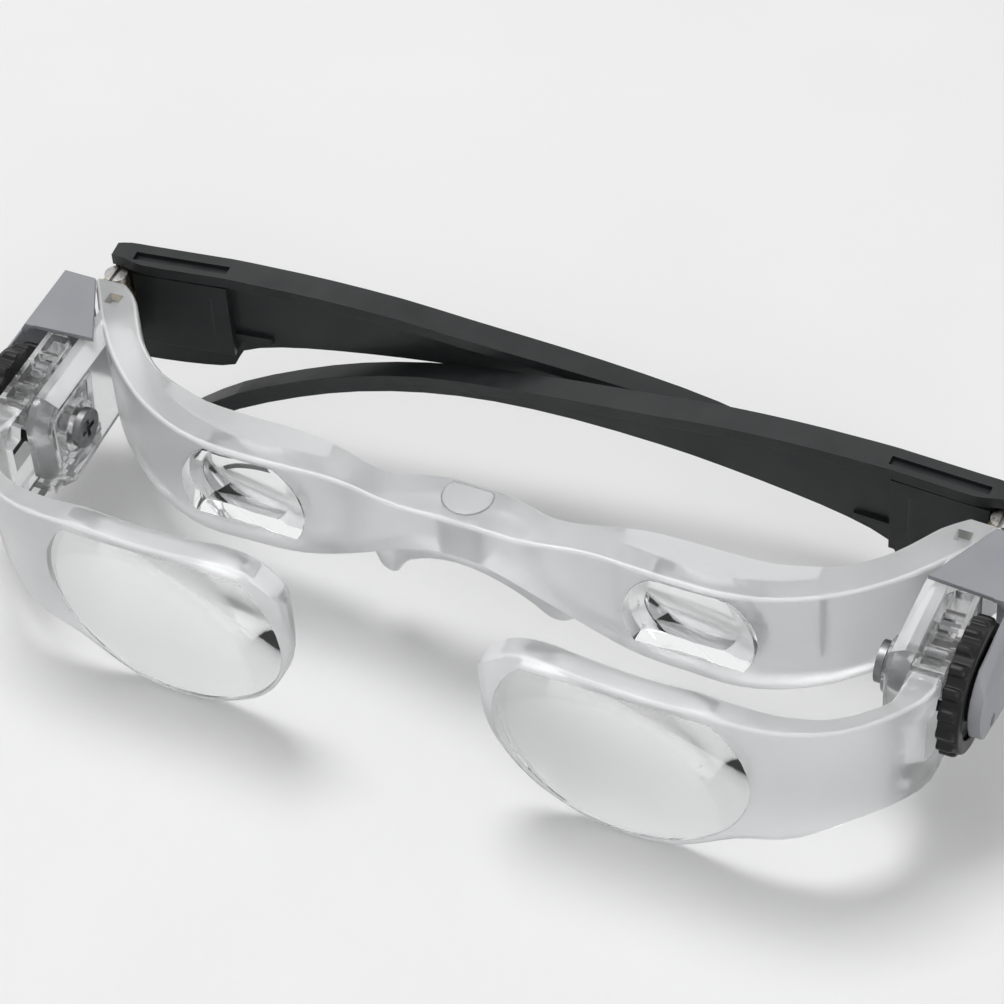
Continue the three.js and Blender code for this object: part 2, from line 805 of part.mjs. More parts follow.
function objectiveLens() {
  const round = lensBody(
    objectiveRadius,
    objectiveEdgeFront,
    objectiveEdgeBack,
    objectiveFrontSag,
    objectiveBackSag,
  );
  const limits = rectangle(-frameHalfWidth, frameHalfWidth, -frameHalfWidth, objectiveFlatTop - objectiveZ);
  const slab = prism("y", limits, -frameHalfWidth, frameHalfWidth);
  return round.intersect(slab).translate([eyeX, 0, objectiveZ]);
}

// Focus wheel and axle screw
function gripOutline(rise) {
  const step = (2 * halfTurn) / gripCount;
  const half = (step * gripShare) / 2;
  const foot = wheelRadius - gripDepth;
  return Array.from({ length: gripCount }, (_, i) => {
    const middle = i * step;
    return [
      [middle - half, foot],
      [middle - half * gripWidthShare, foot + rise * gripSideShare],
      [middle, foot + rise],
      [middle + half * gripWidthShare, foot + rise * gripSideShare],
      [middle + half, foot],
    ];
  })
    .flat()
    .map(([angle, radius]) => [wheelY + radius * Math.cos(angle), wheelZ + radius * Math.sin(angle)]);
}

// The grips: full height from the wheel's inner face, sinking into its rim before the outer face.
function gripBand() {
  const end = wheelOuter - gripEnd;
  const places = [
    [wheelInner, gripDepth],
    [end - gripFall, gripDepth],
    [end - gripFall * gripTipShare, gripDepth * gripSideShare],
    [end, 0],
  ];
  return loft(
    places.map(([x, rise]) => {
      const flat = gripOutline(rise);
      return { points: flat.map(([y, z]) => [x, y, z]), flat };
    }),
  );
}

function pinionOutline() {
  const rootRadius = pitchRadius - gearModule - gearRootGap;
  return Array.from({ length: pinionTeeth }, (_, i) => {
    const middle = halfTurn / 2 + (2 * halfTurn * i) / pinionTeeth;
    return [
      [middle, rootRadius, -toothHalf - toothSlope],
      [middle, tipRadius, -toothHalf + toothSlope],
      [middle, tipRadius, toothHalf - toothSlope],
      [middle, rootRadius, toothHalf + toothSlope],
    ];
  })
    .flat()
    .map(([middle, radius, half]) => {
      const angle = middle + half / radius;
      return [wheelY + radius * Math.cos(angle), wheelZ + radius * Math.sin(angle)];
    });
}

function focusWheel() {
  const rim = circle(wheelY, wheelZ, wheelRadius - wheelShoulderDrop, roundSegments);
  const bore = circle(wheelY, wheelZ, axleRadius + axleFit, smallSegments);
  const hollow = circle(wheelY, wheelZ, wheelRadius - hollowRim, roundSegments);
  const hub = circle(wheelY, wheelZ, tipRadius, smallSegments);
  const pinionInner = wallOuter + pinionGap;
  const body = join(
    prism("x", rim, wheelInner, wheelOuter),
    gripBand(),
    prism("x", pinionOutline(), pinionInner, wheelInner + overrun),
  );
  return cut(
    body,
    prism("x", hollow, wheelOuter - hollowDepth, wheelOuter + overrun, hub),
    prism("x", bore, pinionInner - overrun, wheelOuter + overrun),
  );
}

function axleScrew() {
  const headSeat = hubInner - axleHeadGap;
  const headTop = headSeat - axleHeadThickness;
  const slotHalf = driveSlotWidth / 2;
  const slots = [
    rectangle(wheelY - driveReach, wheelY + driveReach, wheelZ - slotHalf, wheelZ + slotHalf),
    rectangle(wheelY - slotHalf, wheelY + slotHalf, wheelZ - driveReach, wheelZ + driveReach),
  ];
  return cut(
    join(
      prism("x", circle(wheelY, wheelZ, axleHeadRadius, smallSegments), headTop, headSeat),
      prism("x", circle(wheelY, wheelZ, axleRadius, smallSegments), headTop + driveSlotDepth, axleTip),
    ),
    ...slots.map((slot) => prism("x", slot, headTop - overrun, headTop + driveSlotDepth)),
  );
}

const axleTip = skinInner + axleTipDepth;

// Side cover. The skin's outline holds shares forward of the rear and down from the top.
const skinShares = [
  [0, 0.0712],
  [0, 1],
  [0.4724, 0.8974],
  [0.7165, 0.7778],
  [0.9134, 0.6809],
  [0.9606, 0.6125],
  [0.9961, 0.4644],
  [1, 0.3276],
  [0.9764, 0.2137],
  [0.9213, 0.1225],
  [0.8583, 0.0712],
];

function sideCover() {
  const outline = skinShares.map(([ahead, down]) => [
    coverRear - ahead * skinLength,
    coverTop - down * coverHeight,
  ]);
  const skin = prism("x", outline, skinInner, skinOuter);
  const underside = coverTop - coverSkin;
  const plateFront = wheelY + wheelRadius - plateWheelLap;
  const plate = prism(
    "z",
    [
      [frameHalfWidth - plateReach, plateFront + plateSlant],
      [skinInner + plateSeat, plateFront],
      [skinInner + plateSeat, coverRear],
      [frameHalfWidth - plateRearReach, coverRear],
    ],
    underside,
    coverTop,
  );
  const coverShoulder = skinOuter - coverShoulderWidth;
  const slopeEnd = coverTop - coverShoulderDrop;
  const shoulder = prism(
    "y",
    [
      [coverShoulder - 2 * coverSkin, coverTop],
      [skinOuter, coverTop],
      [skinOuter, slopeEnd - coverSkin],
      [skinInner, slopeEnd - coverSkin],
      [skinInner, slopeEnd + coverSkin],
      [coverShoulder - coverSkin, underside],
      [coverShoulder - 2 * coverSkin, underside],
    ],
    plateFront,
    coverRear,
  );
  const bevel = prism(
    "y",
    [
      [coverShoulder, coverTop],
      [skinOuter, slopeEnd],
      [skinOuter + overrun, slopeEnd],
      [skinOuter + overrun, coverTop + overrun],
      [coverShoulder, coverTop + overrun],
    ],
    -frameHalfWidth,
    frameHalfWidth,
  );
  const rearWall = prism(
    "x",
    rectangle(coverRear - rearWallThickness, coverRear, coverTop - coverHeight, coverTop),
    frameHalfWidth + coverGap,
    skinOuter,
  );
  const tipHole = circle(wheelY, wheelZ, axleRadius + axleFit, smallSegments);
  const dimple = circle(wheelY - dimpleLead, wheelZ - dimpleDrop, dimpleRadius, smallSegments);
  return cut(
    join(plate, shoulder, skin, rearWall),
    bevel,
    prism("x", tipHole, skinInner - overrun, axleTip + axleFit),
    prism("x", dimple, skinOuter - dimpleDepth, skinOuter + overrun),
  );
}

// Hinges
function frameHinge() {
  const knuckle = circle(hingeX, hingeY, knuckleRadius, smallSegments);
  const leafFront = frameWrap + leafSeat;
  const arm = rectangle(hingeX - knuckleRadius, hingeX + knuckleRadius, leafFront, hingeY);
  const lowTop = knuckleMiddleBottom - knuckleGap;
  const highBottom = knuckleMiddleTop + knuckleGap;
  const leafBack = leafFront + leafThickness;
  const leaf = rectangle(hingeX - leafInnerReach, hingeX + leafOuterReach, leafFront, leafBack);
  return cut(
    join(
      prism("z", leaf, knuckleBottom, knuckleTop),
      prism("z", knuckle, knuckleBottom, lowTop),
      prism("z", arm, knuckleBottom, lowTop),
      prism("z", knuckle, highBottom, knuckleTop),
      prism("z", arm, highBottom, knuckleTop),
    ),
    prism("z", circle(hingeX, hingeY, pinRadius + pinFit, smallSegments), -bandHeight, bandHeight),
  );
}

function templeHinge() {
  const knuckle = circle(hingeX, hingeY, knuckleRadius, smallSegments);
  const [near, far] = [hingeY + templeLeafOffset, hingeY + templeLeafOffset + leafThickness];
  return cut(
    join(
      prism("z", knuckle, knuckleMiddleBottom, knuckleMiddleTop),
      prism(
        "z",
        rectangle(hingeX - leafNear - overrun, hingeX, near, far),
        knuckleMiddleBottom,
        knuckleMiddleTop,
      ),
      prism(
        "z",
        rectangle(hingeX - leafFar, hingeX - leafNear, near, far),
        knuckleMiddleBottom - templeLeafFlare,
        knuckleMiddleTop + templeLeafFlare,
      ),
    ),
    prism("z", circle(hingeX, hingeY, pinRadius + pinFit, smallSegments), -bandHeight, bandHeight),
  );
}

function hingeScrew() {
  const headBottom = knuckleTop + pinFit;
  const headTop = headBottom + pinHeadThickness;
  const pin = circle(hingeX, hingeY, pinRadius, smallSegments);
  const slot = rectangle(
    hingeX - pinSlotWidth / 2,
    hingeX + pinSlotWidth / 2,
    hingeY - pinHeadRadius,
    hingeY + pinHeadRadius,
  );
  return cut(
    join(
      prism("z", pin, knuckleBottom - pinFit, headTop - driveSlotDepth),
      prism("z", circle(hingeX, hingeY, pinHeadRadius, smallSegments), headBottom, headTop),
    ),
    prism("z", slot, headTop - driveSlotDepth, headTop + overrun),
  );
}

// Temple. Each row holds the place along it, how far its outer face bows back from where it stands
// behind the hinge, how far its top and its bottom lie below its highest line, the flange's width
// and the web's thickness.
const templeShares = [
  [-0.009, 0, 0.02, 0.98, 0.625, 1],
  [0.0082, 0.0385, 0, 1, 0.8, 1],
  [0.0328, 0.0769, 0, 1, 1, 1],
  [0.082, 0.1538, 0, 0.98, 1, 1],
  [0.1197, 0.2308, 0, 0.93, 1, 1],
  [0.1328, 0.25, 0, 0.78, 1, 1],
  [0.1803, 0.3269, 0.015, 0.685, 1, 1],
  [0.2459, 0.4231, 0.045, 0.625, 1, 1],
  [0.3279, 0.5769, 0.11, 0.585, 1, 1],
  [0.4016, 0.7308, 0.2, 0.575, 1, 1],
  [0.5057, 0.9231, 0.32, 0.595, 0.95, 1.0556],
  [0.6025, 1, 0.435, 0.645, 0.875, 1.1667],
  [0.6885, 0.9231, 0.55, 0.735, 0.775, 1.2778],
  [0.7705, 0.6538, 0.7, 0.87, 0.725, 1.3333],
  [0.8443, 0.1923, 0.87, 1.035, 0.7, 1.3333],
  [0.918, -0.5, 1.07, 1.235, 0.7, 1.3333],
  [0.9672, -1.1538, 1.255, 1.42, 0.7, 1.3333],
  [1, -1.6538, 1.4, 1.56, 0.65, 1.2222],
];

const templeRows = smoothRows(
  scaled(templeShares, templeLength, templeBow, templeHeight, templeHeight, flangeWidth, templeWeb).map(
    ([along, bow, top, bottom, ...rest]) => [
      along,
      templeSeat + bow,
      templeTop - top,
      templeTop - bottom,
      ...rest,
    ],
  ),
  spanSteps,
);

// The temple's section at a distance along it.
function templeAt(along) {
  const i = templeRows.findIndex((row) => row[0] >= along);
  const [from, to] = [templeRows[i - 1], templeRows[i]];
  const share = (along - from[0]) / (to[0] - from[0]);
  return from.map((value, j) => value + (to[j] - value) * share);
}

// How far back the outer temple stands at the middle, so that it clears the inner one wherever
// the two are at the same height.
function outerTempleBack() {
  const needs = [innerTempleBack];
  for (const [along, offset, top, bottom, flange, web] of templeRows) {
    const other = 2 * hingeX - along;
    if (along <= 0 || other <= 0 || other >= templeLength) continue;
    const [, otherOffset, otherTop, otherBottom] = templeAt(other);
    if (bottom > otherTop + foldGap || otherBottom > top + foldGap) continue;
    const besideFlange = otherTop + foldGap > top - flangeThickness;
    const depth = (besideFlange ? flange : web) + foldGap;
    const otherBack = otherOffset + (innerTempleBack * other) / hingeX;
    needs.push(((otherBack + depth - offset) * hingeX) / along);
  }
  return Math.max(...needs);
}

// A strip that follows the temple, between two depths in from its outer face.
function templeStrip(from, to, outerDepth, innerDepth, bottom, top) {
  const corner = (along, depth) => [hingeX - along, hingeY + templeAt(along)[1] - depth];
  const outline = [
    corner(from, outerDepth),
    corner(to, outerDepth),
    corner(to, innerDepth),
    corner(from, innerDepth),
  ];
  return prism("z", outline, bottom, top);
}

function templeBody() {
  const rings = templeRows.map(([along, offset, top, bottom, flange, web]) => {
    const thickness = Math.min(flangeThickness, (top - bottom) * flangeLimitShare);
    const flat = [
      [0, top],
      [flange, top],
      [flange, top - thickness],
      [web, top - thickness],
      [web, bottom],
      [0, bottom],
    ];
    return { flat, points: flat.map(([depth, z]) => [hingeX - along, hingeY + offset - depth, z]) };
  });
  const [padTop, ribTop] = [templeTop - padDrop, templeTop - webRibDrop];
  const pad = templeStrip(
    padLead,
    padLead + padLength,
    templeWeb / 2,
    templeWeb + padThickness,
    padTop - padHeight,
    padTop,
  );
  const rib = templeStrip(
    webRibLead,
    webRibLead + webRibLength,
    templeWeb / 2,
    templeWeb + webRibThickness,
    ribTop - webRibHeight,
    ribTop,
  );
  const slot = templeStrip(
    templeSlotLead,
    templeSlotLead + templeSlotLength,
    templeSlotInset,
    templeSlotInset + templeSlotWidth,
    templeTop - templeSlotDepth,
    templeTop + overrun,
  );
  const leafPocket = prism(
    "z",
    rectangle(
      hingeX - leafFar - templeLeafFit,
      hingeX,
      hingeY + templeLeafOffset - templeLeafFit,
      hingeY + templeLeafOffset + leafThickness + templeLeafFit,
    ),
    knuckleMiddleBottom - templeLeafFlare - templeLeafFit,
    knuckleMiddleTop + templeLeafFlare + templeLeafFit,
  );
  return cut(join(loft(rings), pad, rib), slot, leafPocket);
}

// The glasses
const clearFrost = { color: 0xdfe5ea, roughness: 0.45, metalness: 0 };
const softClear = { color: 0xe6eaee, roughness: 0.6, metalness: 0 };
const clearLens = { color: 0xf4f8fb, roughness: 0.05, metalness: 0 };
const blackRubber = { color: 0x141414, roughness: 0.7, metalness: 0 };
const greyCover = { color: 0x8c8d92, roughness: 0.42, metalness: 0 };
const darkPlastic = { color: 0x262a2c, roughness: 0.4, metalness: 0 };
const steel = { color: 0xa9a59c, roughness: 0.32, metalness: 0.9 };
const brass = { color: 0x9a8560, roughness: 0.38, metalness: 0.9 };

const glasses = new THREE.Group();
glasses.name = "binocular_glasses";

function add(name, solid, finish) {
  const made = solid.getMesh();
  const geometry = new THREE.BufferGeometry();
  geometry.setAttribute("position", new THREE.BufferAttribute(made.vertProperties, made.numProp));
  geometry.setIndex(new THREE.BufferAttribute(made.triVerts, 1));
  const faceted = geometry.toNonIndexed();
  faceted.computeVertexNormals();
  const mesh = new THREE.Mesh(faceted, new THREE.MeshStandardMaterial(finish));
  mesh.name = name;
  glasses.add(mesh);
}

function addPair(name, solid, finish) {
  add(name + "_left", solid, finish);
  add(name + "_right", solid.mirror([1, 0, 0]), finish);
}

add("rear_frame", rearFrame(), clearFrost);
add("nose_saddle", noseSaddle(), softClear);
addPair("eyepiece_lens", eyepieceLens(), clearLens);
addPair("objective_arm", objectiveArm(), clearFrost);
addPair("objective_lens", objectiveLens(), clearLens);
addPair("focus_wheel", focusWheel(), blackRubber);
addPair("wheel_axle_screw", axleScrew(), steel);
addPair("side_cover", sideCover(), greyCover);
addPair("frame_hinge", frameHinge(), brass);
addPair("hinge_screw", hingeScrew(), steel);

// The left temple is folded first, and the right one over it.
const folded = [
  ["temple", templeBody(), darkPlastic],
  ["temple_hinge", templeHinge(), brass],
];
const foldAngle = (back) => THREE.MathUtils.radToDeg(Math.atan(back / hingeX));
for (const [name, solid, finish] of folded) {
  const inner = turn(solid, -foldAngle(innerTempleBack), hingeX, hingeY);
  const outer = turn(solid, -foldAngle(outerTempleBack()), hingeX, hingeY);
  add(name + "_left", inner, finish);
  add(name + "_right", outer.mirror([1, 0, 0]), finish);
}

export default glasses;
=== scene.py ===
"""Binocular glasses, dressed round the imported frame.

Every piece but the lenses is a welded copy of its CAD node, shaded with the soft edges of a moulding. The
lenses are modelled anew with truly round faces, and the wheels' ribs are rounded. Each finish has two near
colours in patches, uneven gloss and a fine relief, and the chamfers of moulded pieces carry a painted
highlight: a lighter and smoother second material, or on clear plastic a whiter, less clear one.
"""
import enum
import logging
import math
from dataclasses import dataclass, replace

import bpy
from mathutils import Matrix, Vector


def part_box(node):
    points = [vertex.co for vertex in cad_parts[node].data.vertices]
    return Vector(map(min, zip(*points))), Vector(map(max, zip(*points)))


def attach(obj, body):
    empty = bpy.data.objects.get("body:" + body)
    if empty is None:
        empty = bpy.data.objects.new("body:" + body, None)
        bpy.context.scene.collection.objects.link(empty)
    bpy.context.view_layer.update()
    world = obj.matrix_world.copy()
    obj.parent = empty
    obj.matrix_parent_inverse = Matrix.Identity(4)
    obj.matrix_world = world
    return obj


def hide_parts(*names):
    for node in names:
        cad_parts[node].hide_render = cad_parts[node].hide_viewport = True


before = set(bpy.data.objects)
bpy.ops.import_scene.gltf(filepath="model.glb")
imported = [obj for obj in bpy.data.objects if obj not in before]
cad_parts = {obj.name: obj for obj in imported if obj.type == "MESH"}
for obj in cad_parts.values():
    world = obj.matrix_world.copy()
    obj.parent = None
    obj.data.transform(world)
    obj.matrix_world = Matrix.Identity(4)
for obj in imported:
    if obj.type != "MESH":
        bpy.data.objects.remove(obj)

LOG = logging.getLogger("binocular_glasses")
MM = 0.001
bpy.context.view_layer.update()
Colour = tuple[float, float, float]
Place = tuple[float, float, float]


class Side(enum.Enum):
    """The wearer's side. The left one is at +X."""

    LEFT = 1
    RIGHT = -1

    def named(self, stem: str) -> str:
        """The stem with this side's ending."""
        return stem + "_" + self.name.lower()


# Finishes

# The noise values between which the colour goes from dark to light, and the surface from smooth to rough.
COLOUR_STOPS = (0.36, 0.64)
GLOSS_STOPS = (0.3, 0.7)

# How many finer layers the noise of the colour, of the gloss and of the grain has.
COLOUR_LAYERS = 4.0
GLOSS_LAYERS = 5.0
GRAIN_LAYERS = 2.0

# How many times smaller the lumps of the gloss are than those of the colour.
GLOSS_FINENESS = 3

BUMP_STRENGTH = 0.5
BEVEL_SAMPLES = 6

# The wave texture's phase, in radians, is this many times the scaled coordinate.
WAVE_FACTOR = 20.0


def link(tree: bpy.types.NodeTree, start: bpy.types.NodeSocket, end: bpy.types.NodeSocket) -> None:
    """Joins two sockets."""
    tree.links.new(start, end)


def add_node(tree: bpy.types.NodeTree, kind: str, **inputs: object) -> bpy.types.Node:
    """A shader node with some of its inputs set.

    Args:
        tree: The node tree.
        kind: The node's type, such as "ShaderNodeTexNoise".
        inputs: Values of input sockets, by name with underscores for spaces.

    Returns:
        The new node.
    """
    made = tree.nodes.new(kind)
    for name, value in inputs.items():
        made.inputs[name.replace("_", " ")].default_value = value
    return made


def lumps(tree: bpy.types.NodeTree, size: float, layers: float) -> bpy.types.NodeSocket:
    """Noise on Object coordinates.

    Args:
        tree: The material's node tree.
        size: The size of one lump, in metres.
        layers: How many finer layers are added.

    Returns:
        The socket with the noise value.
    """
    place = add_node(tree, "ShaderNodeTexCoord")
    made = add_node(tree, "ShaderNodeTexNoise", Scale=1.0 / size, Detail=layers)
    link(tree, place.outputs["Object"], made.inputs["Vector"])
    return made.outputs["Fac"]


@dataclass(frozen=True)
class Finish:
    """One slot's surface: two near colours in patches, uneven gloss, a fine relief and a painted highlight on
    chamfers.

    The chamfers get a second material: lighter towards white as a painted highlight, by a lift set per
    finish, and smoother by edge_polish. In the shading, sharp edges are rounded by edge_radius.
    """

    slot: str
    dark: Colour
    light: Colour
    rough: tuple[float, float]
    patch: float = 9 * MM
    grain: float = 0.3 * MM
    relief: float = 0.02 * MM
    # How far the chamfers' colours are lifted towards white: a painted highlight.
    edge_highlight_lift: float = 0.1
    edge_polish: float = 0.8
    edge_radius: float = 0.12 * MM

    def shape_shader(self, shader: bpy.types.Node) -> None:
        """Sets what this kind of surface adds to the shader."""

    def relief_height(self, tree: bpy.types.NodeTree) -> bpy.types.NodeSocket:
        """The height of the fine relief."""
        return lumps(tree, self.grain, GRAIN_LAYERS)

    def add_colour(self, tree: bpy.types.NodeTree, shader: bpy.types.Node) -> None:
        """Sets the two near colours in patches.

        Args:
            tree: The material's node tree.
            shader: The shader.
        """
        ramp = add_node(tree, "ShaderNodeValToRGB")
        for stop, place, colour in zip(ramp.color_ramp.elements, COLOUR_STOPS, (self.dark, self.light)):
            stop.position = place
            stop.color = (*colour, 1.0)
        link(tree, lumps(tree, self.patch, COLOUR_LAYERS), ramp.inputs["Fac"])
        link(tree, ramp.outputs["Color"], shader.inputs["Base Color"])

    def add_gloss(self, tree: bpy.types.NodeTree, shader: bpy.types.Node) -> None:
        """Sets the uneven gloss.

        Args:
            tree: The material's node tree.
            shader: The shader.
        """
        low, high = GLOSS_STOPS
        smooth, dull = self.rough
        gloss = add_node(tree, "ShaderNodeMapRange", From_Min=low, From_Max=high, To_Min=smooth, To_Max=dull)
        link(tree, lumps(tree, self.patch / GLOSS_FINENESS, GLOSS_LAYERS), gloss.inputs["Value"])
        link(tree, gloss.outputs["Result"], shader.inputs["Roughness"])

    def add_relief(self, tree: bpy.types.NodeTree, shader: bpy.types.Node) -> None:
        """Sets the fine relief, and rounds the sharp edges in the shading.

        Args:
            tree: The material's node tree.
            shader: The shader.
        """
        bump = add_node(tree, "ShaderNodeBump", Strength=BUMP_STRENGTH, Distance=self.relief)
        link(tree, self.relief_height(tree), bump.inputs["Height"])
        if self.edge_radius:
            rounded = add_node(tree, "ShaderNodeBevel", Radius=self.edge_radius)
            rounded.samples = BEVEL_SAMPLES
            link(tree, rounded.outputs["Normal"], bump.inputs["Normal"])
        link(tree, bump.outputs["Normal"], shader.inputs["Normal"])

    def faces(self) -> bpy.types.Material:
        """Makes the material of a piece's faces, under the slot's name.

        Returns:
            The material.
        """
        material = bpy.data.materials.new(self.slot)
        material.use_nodes = True
        tree = material.node_tree
        tree.nodes.clear()
        shader = add_node(tree, "ShaderNodeBsdfPrincipled")
        output = add_node(tree, "ShaderNodeOutputMaterial")
        link(tree, shader.outputs["BSDF"], output.inputs["Surface"])
        self.add_colour(tree, shader)
        self.add_gloss(tree, shader)
        self.add_relief(tree, shader)
        self.shape_shader(shader)
        return material

    def edges(self) -> bpy.types.Material:
        """Makes the material of a piece's chamfers, lighter by a painted highlight.

        Returns:
            The material.
        """
        # Painted highlight: the chamfers' colours are lifted towards white.
        dark, light = (
            tuple(value + self.edge_highlight_lift * (1.0 - value) for value in colour)
            for colour in (self.dark, self.light)
        )
        rough = tuple(value * self.edge_polish for value in self.rough)
        return replace(self, slot=self.slot + "_rubbed_edge", dark=dark, light=light, rough=rough).faces()


@dataclass(frozen=True)
class ClearPlastic(Finish):
    """Plastic or glass that light goes through, frosted by its roughness."""

    clearness: float = 0.9
    # How much less clear the chamfers are, which whitens them as a painted highlight.
    edge_clearness: float = 0.55
    bending: float = 1.49

    def shape_shader(self, shader: bpy.types.Node) -> None:
        """Lets light through."""
        shader.inputs["Transmission Weight"].default_value = self.clearness
        shader.inputs["IOR"].default_value = self.bending

    def edges(self) -> bpy.types.Material:
        """The material of the chamfers, where clear plastic is whiter and less clear: a painted highlight."""
        return replace(self, slot=self.slot + "_edge", clearness=self.clearness * self.edge_clearness).faces()


@dataclass(frozen=True)
class DullPlastic(Finish):
    """Opaque plastic with a weaker gloss than polished plastic has."""

    gloss: float = 0.4

    def shape_shader(self, shader: bpy.types.Node) -> None:
        """Weakens the gloss."""
        shader.inputs["Specular IOR Level"].default_value = self.gloss


@dataclass(frozen=True)
class TurnedMetal(Finish):
    """Bare metal with fine turning rings round a standing axis. One radian of their wave is ring long."""

    patch: float = 1.5 * MM
    relief: float = 0.008 * MM
    edge_radius: float = 0.05 * MM
    ring: float = 0.12 * MM
    unevenness: float = 0.6

    def shape_shader(self, shader: bpy.types.Node) -> None:
        """Makes the surface metal."""
        shader.inputs["Metallic"].default_value = 1.0

    def relief_height(self, tree: bpy.types.NodeTree) -> bpy.types.NodeSocket:
        """The turning rings, a little uneven.

        Args:
            tree: The material's node tree.

        Returns:
            The socket with their height.
        """
        place = add_node(tree, "ShaderNodeTexCoord")
        scale = 1.0 / (WAVE_FACTOR * self.ring)
        rings = add_node(tree, "ShaderNodeTexWave", Scale=scale, Distortion=self.unevenness)
        rings.bands_direction = "Z"
        link(tree, place.outputs["Object"], rings.inputs["Vector"])
        return rings.outputs["Fac"]


FROST = ClearPlastic(
    "frosted_clear", (0.93, 0.94, 0.948), (0.95, 0.958, 0.965), (0.3, 0.36), relief=0.004 * MM, clearness=0.86
)
CLEAR_WALL = replace(
    FROST, dark=(0.955, 0.96, 0.965), light=(0.97, 0.975, 0.98), rough=(0.1, 0.17), clearness=0.95
)
SOFT = ClearPlastic(
    "soft_clear", (0.89, 0.9, 0.91), (0.92, 0.93, 0.935), (0.38, 0.46), relief=0.006 * MM, clearness=0.7
)
POLISHED = ClearPlastic(
    "lens", (0.97, 0.978, 0.98), (0.985, 0.99, 0.99), (0.0, 0.02),
    relief=0.002 * MM, edge_radius=0.0, clearness=1.0,
)
GRIP = DullPlastic(
    "black_grip", (0.006, 0.006, 0.007), (0.011, 0.011, 0.012), (0.28, 0.42), edge_radius=0.0, gloss=0.24
)
COVER = DullPlastic(
    "grey_cover", (0.25, 0.255, 0.275), (0.275, 0.28, 0.3), (0.4, 0.5),
    relief=0.012 * MM, edge_highlight_lift=0.08, edge_radius=0.25 * MM,
)
CHARCOAL = DullPlastic(
    "dark_plastic", (0.01, 0.012, 0.0125), (0.016, 0.019, 0.0195), (0.3, 0.42),
    edge_highlight_lift=0.04, edge_radius=0.1 * MM, gloss=0.34,
)
STEEL = TurnedMetal("steel", (0.38, 0.37, 0.36), (0.56, 0.55, 0.53), (0.24, 0.4))
DARK_STEEL = replace(STEEL, dark=(0.16, 0.16, 0.165), light=(0.26, 0.26, 0.265), rough=(0.34, 0.46))
BRASS = TurnedMetal("brass", (0.34, 0.28, 0.18), (0.54, 0.46, 0.32), (0.24, 0.4))
PAPER = DullPlastic(
    "pale_floor", (0.8077, 0.8077, 0.8077), (0.82, 0.82, 0.82), (0.8, 0.9), patch=40 * MM, edge_radius=0.0
)


class Wardrobe:
    """Builds each finish's two materials once and dresses pieces with them."""

    def __init__(self) -> None:
        """Starts empty."""
        self.made: dict[Finish, tuple[bpy.types.Material, bpy.types.Material]] = {}

    def pair(self, finish: Finish) -> tuple[bpy.types.Material, bpy.types.Material]:
        """A finish's two materials.

        Args:
            finish: The finish.

        Returns:
            The material of faces and the material of chamfers with a painted highlight.
        """
        if finish not in self.made:
            self.made[finish] = (finish.faces(), finish.edges())
        return self.made[finish]

    def dress(self, piece: bpy.types.Object, finish: Finish) -> None:
        """Puts a finish on a piece that has no material yet.

        Args:
            piece: The piece.
            finish: Its finish.
        """
        for material in self.pair(finish):
            piece.data.materials.append(material)


# Shaping

# Corners of a CAD copy that are no farther apart are one corner, and faces that lean no more are one face.
WELD_GAP = 0.004 * MM
FLAT_ANGLE = math.radians(0.5)

LENS_WELD_GAP = 0.002 * MM
QUARTER_TURN = math.pi / 2


def choose(piece: bpy.types.Object) -> None:
    """Selects one piece alone and makes it active.

    Args:
        piece: The piece.
    """
    bpy.ops.object.select_all(action="DESELECT")
    piece.select_set(True)
    bpy.context.view_layer.objects.active = piece


@dataclass(frozen=True)
class SoftEdge:
    """How a moulding's edges are shaded, and which of its faces are the chamfers that take the painted
    highlight.

    The chamfers lean between two angles from the direction in which the mould opens.
    """

    opens_along: tuple[float, float, float] = (0.0, 0.0, 1.0)
    least_lean: float = 30.0
    most_lean: float = 60.0
    smooth_angle: float = 50.0

    def apply(self, piece: bpy.types.Object) -> None:
        """Shades a piece smooth over its chamfers and gives them its second material, which carries a painted
        highlight.

        Args:
            piece: The piece.
        """
        opening = Vector(self.opens_along)
        count = 0
        # Faces leaning like chamfers take the second material, with its painted highlight.
        for face in piece.data.polygons:
            lean = math.degrees(math.acos(min(1.0, abs(face.normal.dot(opening)))))
            face.material_index = int(self.least_lean < lean < self.most_lean)
            count += face.material_index
        choose(piece)
        bpy.ops.object.shade_smooth_by_angle(angle=math.radians(self.smooth_angle))
        evener = piece.modifiers.new("even_shading", "WEIGHTED_NORMAL")
        evener.keep_sharp = True
        bpy.ops.object.modifier_apply(modifier=evener.name)
        LOG.info("%s: %d painted highlight faces", piece.name, count)


@dataclass(frozen=True)
class Tumbled:
    """Edges rounded all over, as on tumbled rubber."""

    grain: float
    passes: int = 6
    strength: float = 0.5

    def apply(self, piece: bpy.types.Object) -> None:
        """Rounds a piece's edges.

        Args:
            piece: The piece.
        """
        choose(piece)
        skin = piece.modifiers.new("skin", "REMESH")
        skin.mode = "VOXEL"
        skin.voxel_size = self.grain
        bpy.ops.object.modifier_apply(modifier=skin.name)
        tumble = piece.modifiers.new("tumble", "SMOOTH")
        tumble.factor = self.strength
        tumble.iterations = self.passes
        bpy.ops.object.modifier_apply(modifier=tumble.name)
        bpy.ops.object.shade_smooth()


